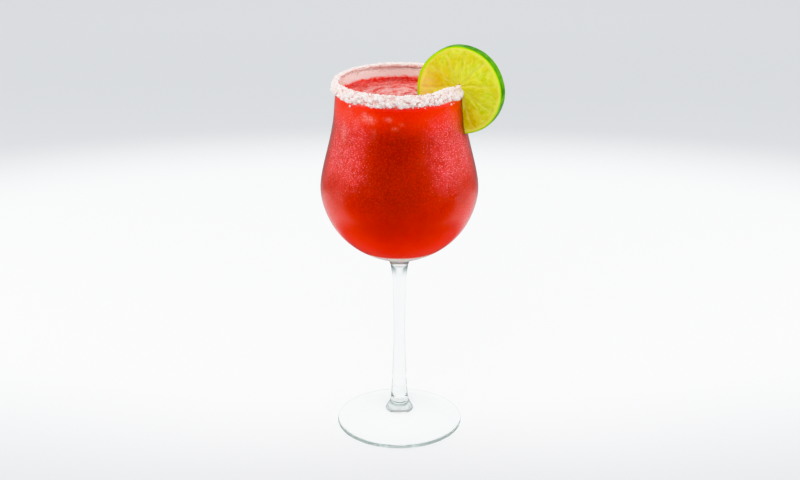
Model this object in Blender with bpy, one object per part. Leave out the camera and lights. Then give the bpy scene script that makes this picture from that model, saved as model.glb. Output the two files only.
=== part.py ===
"""Frozen strawberry daiquiri in a stemmed tulip glass, with a crusted rim and a lime wheel.

Metres, +Z up.  The origin is the centre of the foot's flat underside, the foot stands
on z = 0, and the lime wheel sits on the rim at +X.  Four separate pieces: the glass, the
frozen drink that fills it, the crust of coarse crystals round the lip and the lime wheel.
"""
import math

import bmesh
import bpy
import numpy as np
from mathutils import Matrix, Vector, noise

MM = 0.001

# ---------------------------------------------------------------- driving dimensions
GLASS_HEIGHT = 205.3 * MM
LIP_RADIUS = 33.55 * MM          # outside of the lip
LIP_ROUND = 0.60 * MM            # the lip is fire polished to a half round
BELLY_RADIUS = 43.64 * MM        # widest place of the bowl, outside
BELLY_HEIGHT = 145.6 * MM
BOWL_BASE_HEIGHT = 104.0 * MM    # where the bowl turns in to the stem
WALL_AT_LIP = 1.30 * MM
WALL_AT_BELLY = 1.55 * MM
INNER_FLOOR_HEIGHT = 107.0 * MM  # inside of the bowl, on the axis
STEM_WAIST_RADIUS = 3.25 * MM
STEM_WAIST_HEIGHT = 54.0 * MM
STEM_FOOT_RADIUS = 7.7 * MM      # where the stem's flare meets the disc in a soft crease
STEM_FOOT_HEIGHT = 8.6 * MM
FOOT_RADIUS = 36.0 * MM
FOOT_EDGE = 2.1 * MM             # thickness of the disc at its rim
FOOT_CENTRE = 8.3 * MM           # height of its shallow cone at the crease

GAP = 0.3 * MM                   # clearance between pieces that touch
SEGMENTS = 48                    # facets round every turned piece
CHORD_ERROR = 0.19 * MM          # how far a turned profile may stray from its curve

DRINK_LEVEL = 196.4 * MM
DRINK_RELIEF = 0.45 * MM         # lumps of the frozen surface
SURFACE_RINGS = 5

LIME_RADIUS = 24.15 * MM
LIME_THICKNESS = 5.8 * MM
LIME_CENTRE = Vector((32.8 * MM, -7.0 * MM, 201.6 * MM))
LIME_YAW = math.radians(24.5)    # the wheel's plane turns from +X towards -Y
LIME_POINTS = 60

CRUST_LOW = 199.9 * MM           # mean lower edge of the crust on the wall
CRUST_HIGH = 204.7 * MM          # mean upper edge, just under the lip
CRUST_THICK = 2.4 * MM
CRUST_START = math.radians(19.2)   # both ends stop at the lime wheel; angles run from +X
CRUST_END = math.radians(360 + 5.6)  # through -Y
CRUST_STEPS = 84
CRUST_SECTION = 7


# ---------------------------------------------------------------- small helpers
def clear_scene():
    for obj in list(bpy.data.objects):
        bpy.data.objects.remove(obj, do_unlink=True)


def principled(name, colour, roughness, metallic=0.0, transmission=0.0, ior=1.45):
    mat = bpy.data.materials.new(name)
    mat.use_nodes = True
    shader = mat.node_tree.nodes["Principled BSDF"]
    shader.inputs["Base Color"].default_value = (*colour, 1.0)
    shader.inputs["Roughness"].default_value = roughness
    shader.inputs["Metallic"].default_value = metallic
    shader.inputs["Transmission Weight"].default_value = transmission
    shader.inputs["IOR"].default_value = ior
    mat.diffuse_color = (*colour, 1.0)
    return mat


def natural_spline(stations, samples=600):
    """A smooth curve through the stations (rows of r, z), even along its length."""
    p = np.asarray(stations, float)
    s = np.concatenate([[0.0], np.cumsum(np.linalg.norm(np.diff(p, axis=0), axis=1))])
    n = len(p)
    h = np.diff(s)
    a = np.zeros((n, n))
    b = np.zeros((n, 2))
    a[0, 0] = a[-1, -1] = 1.0
    for i in range(1, n - 1):
        a[i, i - 1], a[i, i], a[i, i + 1] = h[i - 1], 2 * (h[i - 1] + h[i]), h[i]
        b[i] = 6 * ((p[i + 1] - p[i]) / h[i] - (p[i] - p[i - 1]) / h[i - 1])
    m = np.linalg.solve(a, b)
    t = np.linspace(0.0, s[-1], samples)
    k = np.clip(np.searchsorted(s, t, side="right") - 1, 0, n - 2)
    u, v, w = (t - s[k])[:, None], (s[k + 1] - t)[:, None], h[k][:, None]
    return (m[k] * v ** 3 + m[k + 1] * u ** 3) / (6 * w) + \
        (p[k] / w - m[k] * w / 6) * v + (p[k + 1] / w - m[k + 1] * w / 6) * u


def kept(path, error=CHORD_ERROR):
    """Which points the curve needs to stay within error of itself."""
    keep = {0, len(path) - 1}
    stack = [(0, len(path) - 1)]
    while stack:
        i, j = stack.pop()
        if j - i < 2:
            continue
        a, b = path[i], path[j]
        d = (b - a) / max(np.linalg.norm(b - a), 1e-12)
        off = path[i + 1:j] - a
        dist = np.abs(off[:, 0] * d[1] - off[:, 1] * d[0])
        k = int(np.argmax(dist))
        if dist[k] > error:
            keep.add(i + 1 + k)
            stack += [(i, i + 1 + k), (i + 1 + k, j)]
    return sorted(keep)


def simplified(path, error=CHORD_ERROR):
    return path[kept(path, error)]


def rows(path):
    return [(float(r), float(z)) for r, z in path]


def offset(path, distance):
    """The path moved to its left, seen along its direction, by distance (number or array)."""
    t = np.gradient(path, axis=0)
    t /= np.linalg.norm(t, axis=1)[:, None]
    left = np.stack([-t[:, 1], t[:, 0]], axis=1)
    return path + left * np.reshape(distance, (-1, 1))


def half_round(outer, inner, top, count=3):
    """Points that turn over the lip from the outer wall to the inner wall."""
    mid = (outer + inner) / 2
    half = (outer - inner) / 2
    return [(mid + half * math.cos(a), top - LIP_ROUND + LIP_ROUND * math.sin(a))
            for a in (math.pi * (i + 1) / (count + 1) for i in range(count))]


def new_object(name, bm, material=None, smooth=35.0):
    mesh = bpy.data.meshes.new(name)
    bm.normal_update()
    bm.to_mesh(mesh)
    bm.free()
    obj = bpy.data.objects.new(name, mesh)
    bpy.context.scene.collection.objects.link(obj)
    if material is not None:
        mesh.materials.append(material)
    if smooth:
        mesh.shade_smooth()
        mesh.set_sharp_from_angle(angle=math.radians(smooth))
    return obj


def turned(profile):
    """Spin a closed half profile (rows of r, z; both ends on the axis or the loop closed)."""
    bm = bmesh.new()
    closed = profile[0][0] > 1e-6
    verts = [bm.verts.new((r, 0.0, z)) for r, z in profile]
    pairs = list(zip(verts, verts[1:])) + ([(verts[-1], verts[0])] if closed else [])
    edges = [bm.edges.new(pair) for pair in pairs]
    bmesh.ops.spin(bm, geom=verts + edges, cent=(0, 0, 0), axis=(0, 0, 1),
                   angle=2 * math.pi, steps=SEGMENTS, use_duplicate=False)
    bmesh.ops.remove_doubles(bm, verts=bm.verts, dist=1e-6)
    bmesh.ops.recalc_face_normals(bm, faces=bm.faces)
    return bm


def as_cutter(obj):
    obj.hide_render = True
    obj.display_type = 'WIRE'
    return obj


def cut(obj, cutter):
    mod = obj.modifiers.new("cut_" + cutter.name, 'BOOLEAN')
    mod.operation = 'DIFFERENCE'
    mod.solver = 'EXACT'
    mod.object = cutter


# ---------------------------------------------------------------- glass profile
def bowl_outside():
    """Outer wall from the lip down to the base of the bowl."""
    lip = GLASS_HEIGHT - LIP_ROUND
    return natural_spline([
        (LIP_RADIUS, lip),
        (LIP_RADIUS + 0.84 * MM, GLASS_HEIGHT - 5.3 * MM),
        (LIP_RADIUS + 2.24 * MM, GLASS_HEIGHT - 20.3 * MM),
        (BELLY_RADIUS - 4.32 * MM, BELLY_HEIGHT + 21.4 * MM),
        (BELLY_RADIUS - 0.85 * MM, BELLY_HEIGHT + 6.8 * MM),
        (BELLY_RADIUS, BELLY_HEIGHT),
        (BELLY_RADIUS - 2.81 * MM, BELLY_HEIGHT - 14.6 * MM),
        (BELLY_RADIUS - 7.48 * MM, BELLY_HEIGHT - 23.6 * MM),
        (28.94 * MM, BOWL_BASE_HEIGHT + 10.0 * MM),
        (20.20 * MM, BOWL_BASE_HEIGHT + 4.0 * MM),
        (11.70 * MM, BOWL_BASE_HEIGHT),
    ])


def bowl_inside():
    """Inner wall from the lip down to the floor of the bowl on the axis."""
    outer = bowl_outside()
    upper = outer[outer[:, 1] > BOWL_BASE_HEIGHT + 4.2 * MM]
    depth = np.clip((GLASS_HEIGHT - upper[:, 1]) / (GLASS_HEIGHT - BELLY_HEIGHT), 0, 1)
    wall = offset(upper, -(WALL_AT_LIP + (WALL_AT_BELLY - WALL_AT_LIP) * depth))
    floor = [(12.0 * MM, INNER_FLOOR_HEIGHT + 1.50 * MM),
             (6.0 * MM, INNER_FLOOR_HEIGHT + 0.38 * MM),
             (0.0, INNER_FLOOR_HEIGHT),
             (-6.0 * MM, INNER_FLOOR_HEIGHT + 0.38 * MM)]
    stations = [tuple(wall[i]) for i in np.linspace(0, len(wall) - 1, 14).astype(int)]
    curve = natural_spline(stations + floor, 1200)
    curve = curve[curve[:, 0] > 0.05 * MM]
    return np.vstack([curve, [[0.0, INNER_FLOOR_HEIGHT]]])


def stem_outside():
    """From the base of the bowl down the stem to the crease above the foot."""
    base = BOWL_BASE_HEIGHT
    return natural_spline([
        (11.70 * MM, base),
        (7.70 * MM, base - 1.9 * MM),
        (5.50 * MM, base - 4.6 * MM),
        (4.62 * MM, base - 8.6 * MM),
        (4.02 * MM, base - 13.0 * MM),
        (3.60 * MM, base - 21.0 * MM),
        (3.34 * MM, base - 35.0 * MM),
        (STEM_WAIST_RADIUS, STEM_WAIST_HEIGHT),
        (3.67 * MM, 39.5 * MM),
        (4.30 * MM, 24.5 * MM),
        (4.62 * MM, 18.5 * MM),
        (5.15 * MM, 14.2 * MM),
        (6.05 * MM, STEM_FOOT_HEIGHT + 2.9 * MM),
        (7.05 * MM, STEM_FOOT_HEIGHT + 1.2 * MM),
        (STEM_FOOT_RADIUS, STEM_FOOT_HEIGHT),
    ])


def foot_outside():
    """Top of the foot from the crease out, its rounded edge and its flat underside."""
    top = natural_spline([
        (STEM_FOOT_RADIUS + 0.6 * MM, FOOT_CENTRE),
        (14.0 * MM, FOOT_CENTRE - 1.75 * MM),
        (24.0 * MM, FOOT_CENTRE - 4.15 * MM),
        (FOOT_RADIUS - 1.0 * MM, FOOT_EDGE + 0.05 * MM),
    ])
    half = FOOT_EDGE / 2
    edge = [(FOOT_RADIUS - half * (1 - math.sin(a)), half + half * math.cos(a))
            for a in np.linspace(math.radians(20), math.radians(180), 6)]
    return top, edge + [(0.0, 0.0)]


def glass_profile():
    """From the axis up the inside, over the lip, down the outside and back to the axis."""
    outer = simplified(bowl_outside())
    inner = simplified(bowl_inside())
    lip = half_round(outer[0][0], inner[0][0], GLASS_HEIGHT)
    top, edge = foot_outside()
    return rows(inner[::-1]) + lip[::-1] + rows(outer) + \
        rows(simplified(stem_outside(), CHORD_ERROR * 0.6)[1:]) + rows(simplified(top)) + edge


# ---------------------------------------------------------------- frozen drink
def drink_profile():
    """From the middle of the surface out to the wall, and down the wall to the axis."""
    inside = bowl_inside()
    near = offset(inside, -GAP)
    wall = near[kept(inside)]
    wall = wall[(wall[:, 1] < DRINK_LEVEL - 1.5 * MM) & (wall[:, 0] > 1.0 * MM)]
    rim = float(np.interp(-DRINK_LEVEL, -near[:, 1], near[:, 0]))
    rings = [(rim * i / SURFACE_RINGS, DRINK_LEVEL) for i in range(SURFACE_RINGS + 1)]
    return rings + rows(wall) + [(0.0, INNER_FLOOR_HEIGHT + GAP)]


def make_drink(material, clearance):
    bm = turned(drink_profile())
    edge = max(v.co.xy.length for v in bm.verts if v.co.z > DRINK_LEVEL - 1e-6)
    for v in bm.verts:
        if v.co.z > DRINK_LEVEL - 1e-6:
            near_wall = v.co.xy.length / edge
            lumps = noise.noise(Vector((v.co.x, v.co.y, 0.3)) * 95.0)
            v.co.z += DRINK_RELIEF * lumps * (1.0 - near_wall ** 6)
    obj = new_object("drink", bm, material)
    cut(obj, clearance)
    return obj


# ---------------------------------------------------------------- lime wheel
def lime_radius(angle):
    """The wheel isn't quite round: a little flat above on the right, fuller below it."""
    return LIME_RADIUS + 0.28 * MM * math.cos(2 * angle - 0.9) \
        + 0.16 * MM * math.cos(3 * angle + 1.7) + 0.07 * MM * math.cos(7 * angle)


def lime_matrix():
    return Matrix.Translation(LIME_CENTRE) @ Matrix.Rotation(-LIME_YAW, 4, 'Z')


def lime_mesh(grow=0.0):
    """A slab cut across the fruit; its rind bulges a little between the two cuts."""
    half = LIME_THICKNESS / 2 + grow
    layers = [(-half, -0.30 * MM), (-half * 0.45, 0.0), (half * 0.45, 0.0), (half, -0.30 * MM)]
    bm = bmesh.new()
    rings = []
    for depth, inset in layers:
        ring = []
        for i in range(LIME_POINTS):
            a = 2 * math.pi * i / LIME_POINTS
            r = lime_radius(a) + inset + grow
            ring.append(bm.verts.new((r * math.cos(a), depth, r * math.sin(a))))
        rings.append(ring)
    for lower, upper in zip(rings, rings[1:]):
        for i in range(LIME_POINTS):
            j = (i + 1) % LIME_POINTS
            bm.faces.new((lower[i], lower[j], upper[j], upper[i]))
    bm.faces.new(rings[0])
    bm.faces.new(rings[-1][::-1])
    bmesh.ops.recalc_face_normals(bm, faces=bm.faces)
    bm.transform(lime_matrix())
    return bm


def wall_slot():
    """The bowl's wall grown by the gap, which leaves the slit that holds the wheel."""
    low = LIME_CENTRE.z - LIME_RADIUS - 12 * MM
    outside, inside = bowl_outside(), bowl_inside()
    outer = offset(outside, GAP)[kept(outside)]
    inner = offset(inside, -GAP)[kept(inside)]
    outer, inner = outer[outer[:, 1] > low], inner[inner[:, 1] > low]
    top = half_round(outer[0][0], inner[0][0], GLASS_HEIGHT + GAP)
    profile = rows(inner[::-1]) + top[::-1] + rows(outer)
    return as_cutter(new_object("wall_slot_cutter", turned(profile), smooth=0))


# ---------------------------------------------------------------- crust on the rim
def facet_scale(angle):
    """Radius factor that puts a point on the flat between two facet edges."""
    step = 2 * math.pi / SEGMENTS
    local = (angle % step) - step / 2
    return math.cos(step / 2) / math.cos(local)


def make_crust(material):
    bm = bmesh.new()
    wall = simplified(bowl_outside())
    rings = []
    for i in range(CRUST_STEPS + 1):
        t = i / CRUST_STEPS
        a = CRUST_START + (CRUST_END - CRUST_START) * t
        spot = Vector((math.cos(a), -math.sin(a), 0.0))
        lump = noise.noise(spot * 7.0 + Vector((3.1, 0.4, 7.7)))
        sag = noise.noise(spot * 5.0 + Vector((9.2, 2.2, 1.3)))
        rise = noise.noise(spot * 6.0 + Vector((0.7, 5.5, 4.1)))
        taper = min(1.0, 0.55 + 9.0 * min(t, 1 - t))
        low = CRUST_LOW + 0.9 * MM * sag
        high = min(CRUST_HIGH + 0.45 * MM * rise, GLASS_HEIGHT - 0.2 * MM)
        thick = CRUST_THICK * (1.0 + 0.55 * lump) * taper
        ring = []
        for j in range(CRUST_SECTION):
            if j < 2:                       # two points lie along the wall
                z = low if j == 0 else high
                depth = 0.0
            else:                           # the rest bulge outward over the top and down
                b = math.pi * (j - 1) / (CRUST_SECTION - 1)
                z = (low + high) / 2 + (high - low) / 2 * math.cos(b) * 1.06
                depth = thick * (0.25 + 0.75 * math.sin(b))
                depth *= 1.0 + 0.22 * noise.noise(spot * 16.0 + Vector((0, 0, 3.0 * j)))
            r = float(np.interp(-z, -wall[:, 1], wall[:, 0])) + GAP + 0.03 * MM
            r = r * facet_scale(a) + depth
            ring.append(bm.verts.new((r * math.cos(a), -r * math.sin(a), z)))
        rings.append(ring)
    for one, two in zip(rings, rings[1:]):
        for j in range(CRUST_SECTION):
            k = (j + 1) % CRUST_SECTION
            bm.faces.new((one[j], one[k], two[k], two[j]))
    bm.faces.new(rings[0])
    bm.faces.new(rings[-1][::-1])
    bmesh.ops.recalc_face_normals(bm, faces=bm.faces)
    return new_object("rim_crust", bm, material)


# ---------------------------------------------------------------- assembly
def main():
    clear_scene()
    clear_glass = principled("clear_glass", (0.96, 0.98, 0.97), 0.02, transmission=1.0, ior=1.5)
    red_slush = principled("strawberry_slush", (0.72, 0.02, 0.005), 0.35)
    crystals = principled("white_crystals", (0.93, 0.92, 0.91), 0.45)
    lime_flesh = principled("lime_flesh", (0.62, 0.66, 0.06), 0.35)

    new_object("glass", turned(glass_profile()), clear_glass)

    clearance = as_cutter(new_object("lime_clearance_cutter", lime_mesh(GAP), smooth=0))
    make_drink(red_slush, clearance)

    lime = new_object("lime_wheel", lime_mesh(), lime_flesh)
    cut(lime, wall_slot())

    make_crust(crystals)


main()
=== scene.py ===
import math

import bmesh
import bpy
import numpy as np
from mathutils import Matrix, Vector, noise


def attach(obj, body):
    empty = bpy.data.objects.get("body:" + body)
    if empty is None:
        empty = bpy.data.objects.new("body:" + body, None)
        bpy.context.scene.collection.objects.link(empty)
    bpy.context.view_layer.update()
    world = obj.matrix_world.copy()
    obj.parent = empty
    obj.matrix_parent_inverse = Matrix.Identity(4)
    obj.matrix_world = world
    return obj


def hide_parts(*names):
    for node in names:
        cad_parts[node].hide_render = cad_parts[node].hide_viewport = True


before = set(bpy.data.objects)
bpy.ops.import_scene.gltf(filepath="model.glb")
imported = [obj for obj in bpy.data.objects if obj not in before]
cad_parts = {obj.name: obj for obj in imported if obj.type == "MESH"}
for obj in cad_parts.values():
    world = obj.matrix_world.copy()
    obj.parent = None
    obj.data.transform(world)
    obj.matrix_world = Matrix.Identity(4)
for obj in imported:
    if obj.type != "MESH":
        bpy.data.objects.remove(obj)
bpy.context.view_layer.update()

MM = 0.001

# ---------------------------------------------------------------- sizes, the same as the model's
GLASS_HEIGHT = 205.3 * MM
LIP_RADIUS = 33.55 * MM
LIP_ROUND = 0.60 * MM
BELLY_RADIUS = 43.64 * MM
BELLY_HEIGHT = 145.6 * MM
BOWL_BASE_HEIGHT = 104.0 * MM
WALL_AT_LIP = 1.30 * MM
WALL_AT_BELLY = 1.55 * MM
INNER_FLOOR_HEIGHT = 107.0 * MM
STEM_WAIST_RADIUS = 3.25 * MM
STEM_WAIST_HEIGHT = 54.0 * MM
STEM_FOOT_RADIUS = 7.7 * MM
STEM_FOOT_HEIGHT = 8.6 * MM
FOOT_RADIUS = 36.0 * MM
FOOT_EDGE = 2.1 * MM
FOOT_CENTRE = 8.3 * MM
FOOT_RING = 33.2 * MM
FOOT_HOLLOW = 5.2 * MM
DRINK_LEVEL = 196.4 * MM
LIME_RADIUS = 24.15 * MM
LIME_THICKNESS = 5.8 * MM
LIME_CENTRE = Vector((32.8 * MM, -7.0 * MM, 201.6 * MM))
LIME_YAW = math.radians(24.5)
CRUST_LOW = 199.9 * MM
CRUST_HIGH = 204.7 * MM
CRUST_THICK = 2.4 * MM
CRUST_START = math.radians(19.6)
CRUST_END = math.radians(360 + 5.6)

SEGMENTS = 168


# ---------------------------------------------------------------- curves
def natural_spline(stations, samples=600):
    p = np.asarray(stations, float)
    s = np.concatenate([[0.0], np.cumsum(np.linalg.norm(np.diff(p, axis=0), axis=1))])
    n = len(p)
    h = np.diff(s)
    a = np.zeros((n, n))
    b = np.zeros((n, 2))
    a[0, 0] = a[-1, -1] = 1.0
    for i in range(1, n - 1):
        a[i, i - 1], a[i, i], a[i, i + 1] = h[i - 1], 2 * (h[i - 1] + h[i]), h[i]
        b[i] = 6 * ((p[i + 1] - p[i]) / h[i] - (p[i] - p[i - 1]) / h[i - 1])
    m = np.linalg.solve(a, b)
    t = np.linspace(0.0, s[-1], samples)
    k = np.clip(np.searchsorted(s, t, side="right") - 1, 0, n - 2)
    u, v, w = (t - s[k])[:, None], (s[k + 1] - t)[:, None], h[k][:, None]
    return (m[k] * v ** 3 + m[k + 1] * u ** 3) / (6 * w) + \
        (p[k] / w - m[k] * w / 6) * v + (p[k + 1] / w - m[k + 1] * w / 6) * u


def simplified(path, error, longest=1.6 * MM):
    """Keeps the points the curve needs, and never leaves a stretch longer than longest."""
    keep = {0, len(path) - 1}
    stack = [(0, len(path) - 1)]
    while stack:
        i, j = stack.pop()
        if j - i < 2:
            continue
        a, b = path[i], path[j]
        length = max(np.linalg.norm(b - a), 1e-12)
        d = (b - a) / length
        off = path[i + 1:j] - a
        dist = np.abs(off[:, 0] * d[1] - off[:, 1] * d[0])
        k = i + 1 + int(np.argmax(dist))
        if dist.max() > error or length > longest:
            if dist.max() <= error:
                k = (i + j) // 2
            keep.add(k)
            stack += [(i, k), (k, j)]
    return path[sorted(keep)]


def offset(path, distance):
    t = np.gradient(path, axis=0)
    t /= np.linalg.norm(t, axis=1)[:, None]
    left = np.stack([-t[:, 1], t[:, 0]], axis=1)
    return path + left * np.reshape(distance, (-1, 1))


def half_round(outer, inner, top, count=9):
    mid, half = (outer + inner) / 2, (outer - inner) / 2
    return np.array([(mid + half * math.cos(a), top - LIP_ROUND + LIP_ROUND * math.sin(a))
                     for a in (math.pi * (i + 1) / (count + 1) for i in range(count))])


def bowl_outside():
    lip = GLASS_HEIGHT - LIP_ROUND
    return natural_spline([
        (LIP_RADIUS, lip),
        (LIP_RADIUS + 0.84 * MM, GLASS_HEIGHT - 5.3 * MM),
        (LIP_RADIUS + 2.24 * MM, GLASS_HEIGHT - 20.3 * MM),
        (BELLY_RADIUS - 4.32 * MM, BELLY_HEIGHT + 21.4 * MM),
        (BELLY_RADIUS - 0.85 * MM, BELLY_HEIGHT + 6.8 * MM),
        (BELLY_RADIUS, BELLY_HEIGHT),
        (BELLY_RADIUS - 2.81 * MM, BELLY_HEIGHT - 14.6 * MM),
        (BELLY_RADIUS - 7.48 * MM, BELLY_HEIGHT - 23.6 * MM),
        (28.94 * MM, BOWL_BASE_HEIGHT + 10.0 * MM),
        (20.20 * MM, BOWL_BASE_HEIGHT + 4.0 * MM),
        (11.70 * MM, BOWL_BASE_HEIGHT),
    ], 1200)


def bowl_inside():
    outer = bowl_outside()
    upper = outer[outer[:, 1] > BOWL_BASE_HEIGHT + 4.2 * MM]
    depth = np.clip((GLASS_HEIGHT - upper[:, 1]) / (GLASS_HEIGHT - BELLY_HEIGHT), 0, 1)
    wall = offset(upper, -(WALL_AT_LIP + (WALL_AT_BELLY - WALL_AT_LIP) * depth))
    floor = [(12.0 * MM, INNER_FLOOR_HEIGHT + 1.50 * MM),
             (6.0 * MM, INNER_FLOOR_HEIGHT + 0.38 * MM),
             (0.0, INNER_FLOOR_HEIGHT),
             (-6.0 * MM, INNER_FLOOR_HEIGHT + 0.38 * MM)]
    stations = [tuple(wall[i]) for i in np.linspace(0, len(wall) - 1, 14).astype(int)]
    curve = natural_spline(stations + floor, 1600)
    curve = curve[curve[:, 0] > 0.05 * MM]
    return np.vstack([curve, [[0.0, INNER_FLOOR_HEIGHT]]])


def stem_outside():
    base = BOWL_BASE_HEIGHT
    return natural_spline([
        (11.70 * MM, base),
        (7.70 * MM, base - 1.9 * MM),
        (5.50 * MM, base - 4.6 * MM),
        (4.62 * MM, base - 8.6 * MM),
        (4.02 * MM, base - 13.0 * MM),
        (3.60 * MM, base - 21.0 * MM),
        (3.34 * MM, base - 35.0 * MM),
        (STEM_WAIST_RADIUS, STEM_WAIST_HEIGHT),
        (3.67 * MM, 39.5 * MM),
        (4.30 * MM, 24.5 * MM),
        (4.62 * MM, 18.5 * MM),
        (5.15 * MM, 14.2 * MM),
        (6.05 * MM, STEM_FOOT_HEIGHT + 2.9 * MM),
        (7.05 * MM, STEM_FOOT_HEIGHT + 1.2 * MM),
        (STEM_FOOT_RADIUS, STEM_FOOT_HEIGHT),
    ], 1200)


def foot_outside():
    top = natural_spline([
        (STEM_FOOT_RADIUS + 0.6 * MM, FOOT_CENTRE),
        (14.0 * MM, FOOT_CENTRE - 1.75 * MM),
        (24.0 * MM, FOOT_CENTRE - 4.15 * MM),
        (FOOT_RADIUS - 1.0 * MM, FOOT_EDGE + 0.05 * MM),
    ], 300)
    half = FOOT_EDGE / 2
    edge = np.array([(FOOT_RADIUS - half * (1 - math.sin(a)), half + half * math.cos(a))
                     for a in np.linspace(math.radians(20), math.radians(180), 18)])
    # it stands on a narrow ring and is hollow inside that
    under = natural_spline([
        (FOOT_RING, 0.0),
        (31.0 * MM, 0.25 * MM),
        (24.0 * MM, 1.35 * MM),
        (14.0 * MM, 3.35 * MM),
        (8.0 * MM, 4.55 * MM),
        (0.0, FOOT_HOLLOW),
    ], 400)
    return top, edge, under


OUTSIDE = bowl_outside()
INSIDE = bowl_inside()


def outer_radius(z):
    return np.interp(-np.asarray(z), -OUTSIDE[:, 1], OUTSIDE[:, 0])


def inner_radius(z):
    return np.interp(-np.asarray(z), -INSIDE[:, 1], INSIDE[:, 0])


# ---------------------------------------------------------------- meshes
def mesh_object(name, verts, quads=None, tris=None, smooth=True, angle=None):
    """A mesh from numpy arrays of vertices, four-cornered faces and triangles."""
    mesh = bpy.data.meshes.new(name)
    quads = np.zeros((0, 4), int) if quads is None else np.asarray(quads, int)
    tris = np.zeros((0, 3), int) if tris is None else np.asarray(tris, int)
    mesh.vertices.add(len(verts))
    mesh.vertices.foreach_set("co", np.asarray(verts, np.float32).ravel())
    mesh.loops.add(4 * len(quads) + 3 * len(tris))
    mesh.loops.foreach_set("vertex_index", np.concatenate([quads.ravel(), tris.ravel()]))
    mesh.polygons.add(len(quads) + len(tris))
    sizes = np.concatenate([np.full(len(quads), 4), np.full(len(tris), 3)])
    mesh.polygons.foreach_set("loop_start", np.concatenate([[0], np.cumsum(sizes)[:-1]]))
    mesh.update(calc_edges=True)
    mesh.validate()
    obj = bpy.data.objects.new(name, mesh)
    bpy.context.scene.collection.objects.link(obj)
    if smooth:
        mesh.shade_smooth()
        if angle:
            mesh.set_sharp_from_angle(angle=math.radians(angle))
    return obj


def grid_faces(rows, columns, wrap=True):
    i = np.arange(rows - 1)[:, None]
    j = np.arange(columns if wrap else columns - 1)[None, :]
    k = (j + 1) % columns
    a, b = i * columns + j, i * columns + k
    return np.stack([a, b, b + columns, a + columns], axis=-1).reshape(-1, 4)


def turned(name, profile, segments=SEGMENTS, angle=None):
    """Turns a half profile that starts and ends on the axis. The profile runs up the inside and down the outside."""
    profile = np.asarray(profile, float)
    middle = profile[1:-1]
    a = np.arange(segments) * 2 * math.pi / segments
    verts = np.stack([middle[:, :1] * np.cos(a), middle[:, :1] * np.sin(a),
                      np.repeat(middle[:, 1:], segments, axis=1)], axis=-1).reshape(-1, 3)
    first, last = len(verts), len(verts) + 1
    verts = np.vstack([verts, [0, 0, profile[0][1]], [0, 0, profile[-1][1]]])
    quads = grid_faces(len(middle), segments)
    j = np.arange(segments)
    k = (j + 1) % segments
    end = (len(middle) - 1) * segments
    tris = np.vstack([np.stack([np.full(segments, first), k, j], 1),
                      np.stack([np.full(segments, last), end + j, end + k], 1)])
    return mesh_object(name, verts, quads, tris, angle=angle), len(middle)


def outward(obj):
    bm = bmesh.new()
    bm.from_mesh(obj.data)
    bmesh.ops.recalc_face_normals(bm, faces=bm.faces)
    bm.to_mesh(obj.data)
    bm.free()
    return obj


def attribute(obj, name, values):
    values = np.asarray(values, np.float32)
    kind = 'FLOAT_VECTOR' if values.ndim == 2 else 'FLOAT'
    att = obj.data.attributes.new(name, kind, 'POINT')
    att.data.foreach_set("vector" if kind == 'FLOAT_VECTOR' else "value", values.ravel())


def coordinates(obj):
    co = np.zeros(len(obj.data.vertices) * 3, np.float32)
    obj.data.vertices.foreach_get("co", co)
    return co.reshape(-1, 3).astype(float)


def subtract(obj, cutter):
    """Cuts obj by cutter, applies the result and removes the cutter."""
    mod = obj.modifiers.new("cut", 'BOOLEAN')
    mod.operation, mod.solver, mod.object = 'DIFFERENCE', 'EXACT', cutter
    graph = bpy.context.evaluated_depsgraph_get()
    mesh = bpy.data.meshes.new_from_object(obj.evaluated_get(graph))
    obj.modifiers.clear()
    old, obj.data = obj.data, mesh
    mesh.name = obj.name
    bpy.data.meshes.remove(old)
    bpy.data.objects.remove(cutter, do_unlink=True)
    return obj


def smoothstep(a, b, x):
    t = np.clip((np.asarray(x, float) - a) / (b - a), 0, 1)
    return t * t * (3 - 2 * t)


def smooth_min(a, b, k):
    h = np.clip(0.5 + 0.5 * (b - a) / k, 0, 1)
    return b * (1 - h) + a * h - k * h * (1 - h)


def noise_at(points, scale, seed=0.0):
    return np.array([noise.noise(Vector((x * scale + seed, y * scale - seed, z * scale + 2 * seed)))
                     for x, y, z in points])


# ---------------------------------------------------------------- node helpers
def srgb(r, g, b):
    out = []
    for c in (r, g, b):
        c = c / 255.0
        out.append(c / 12.92 if c <= 0.04045 else ((c + 0.055) / 1.055) ** 2.4)
    return (*out, 1.0)


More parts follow.
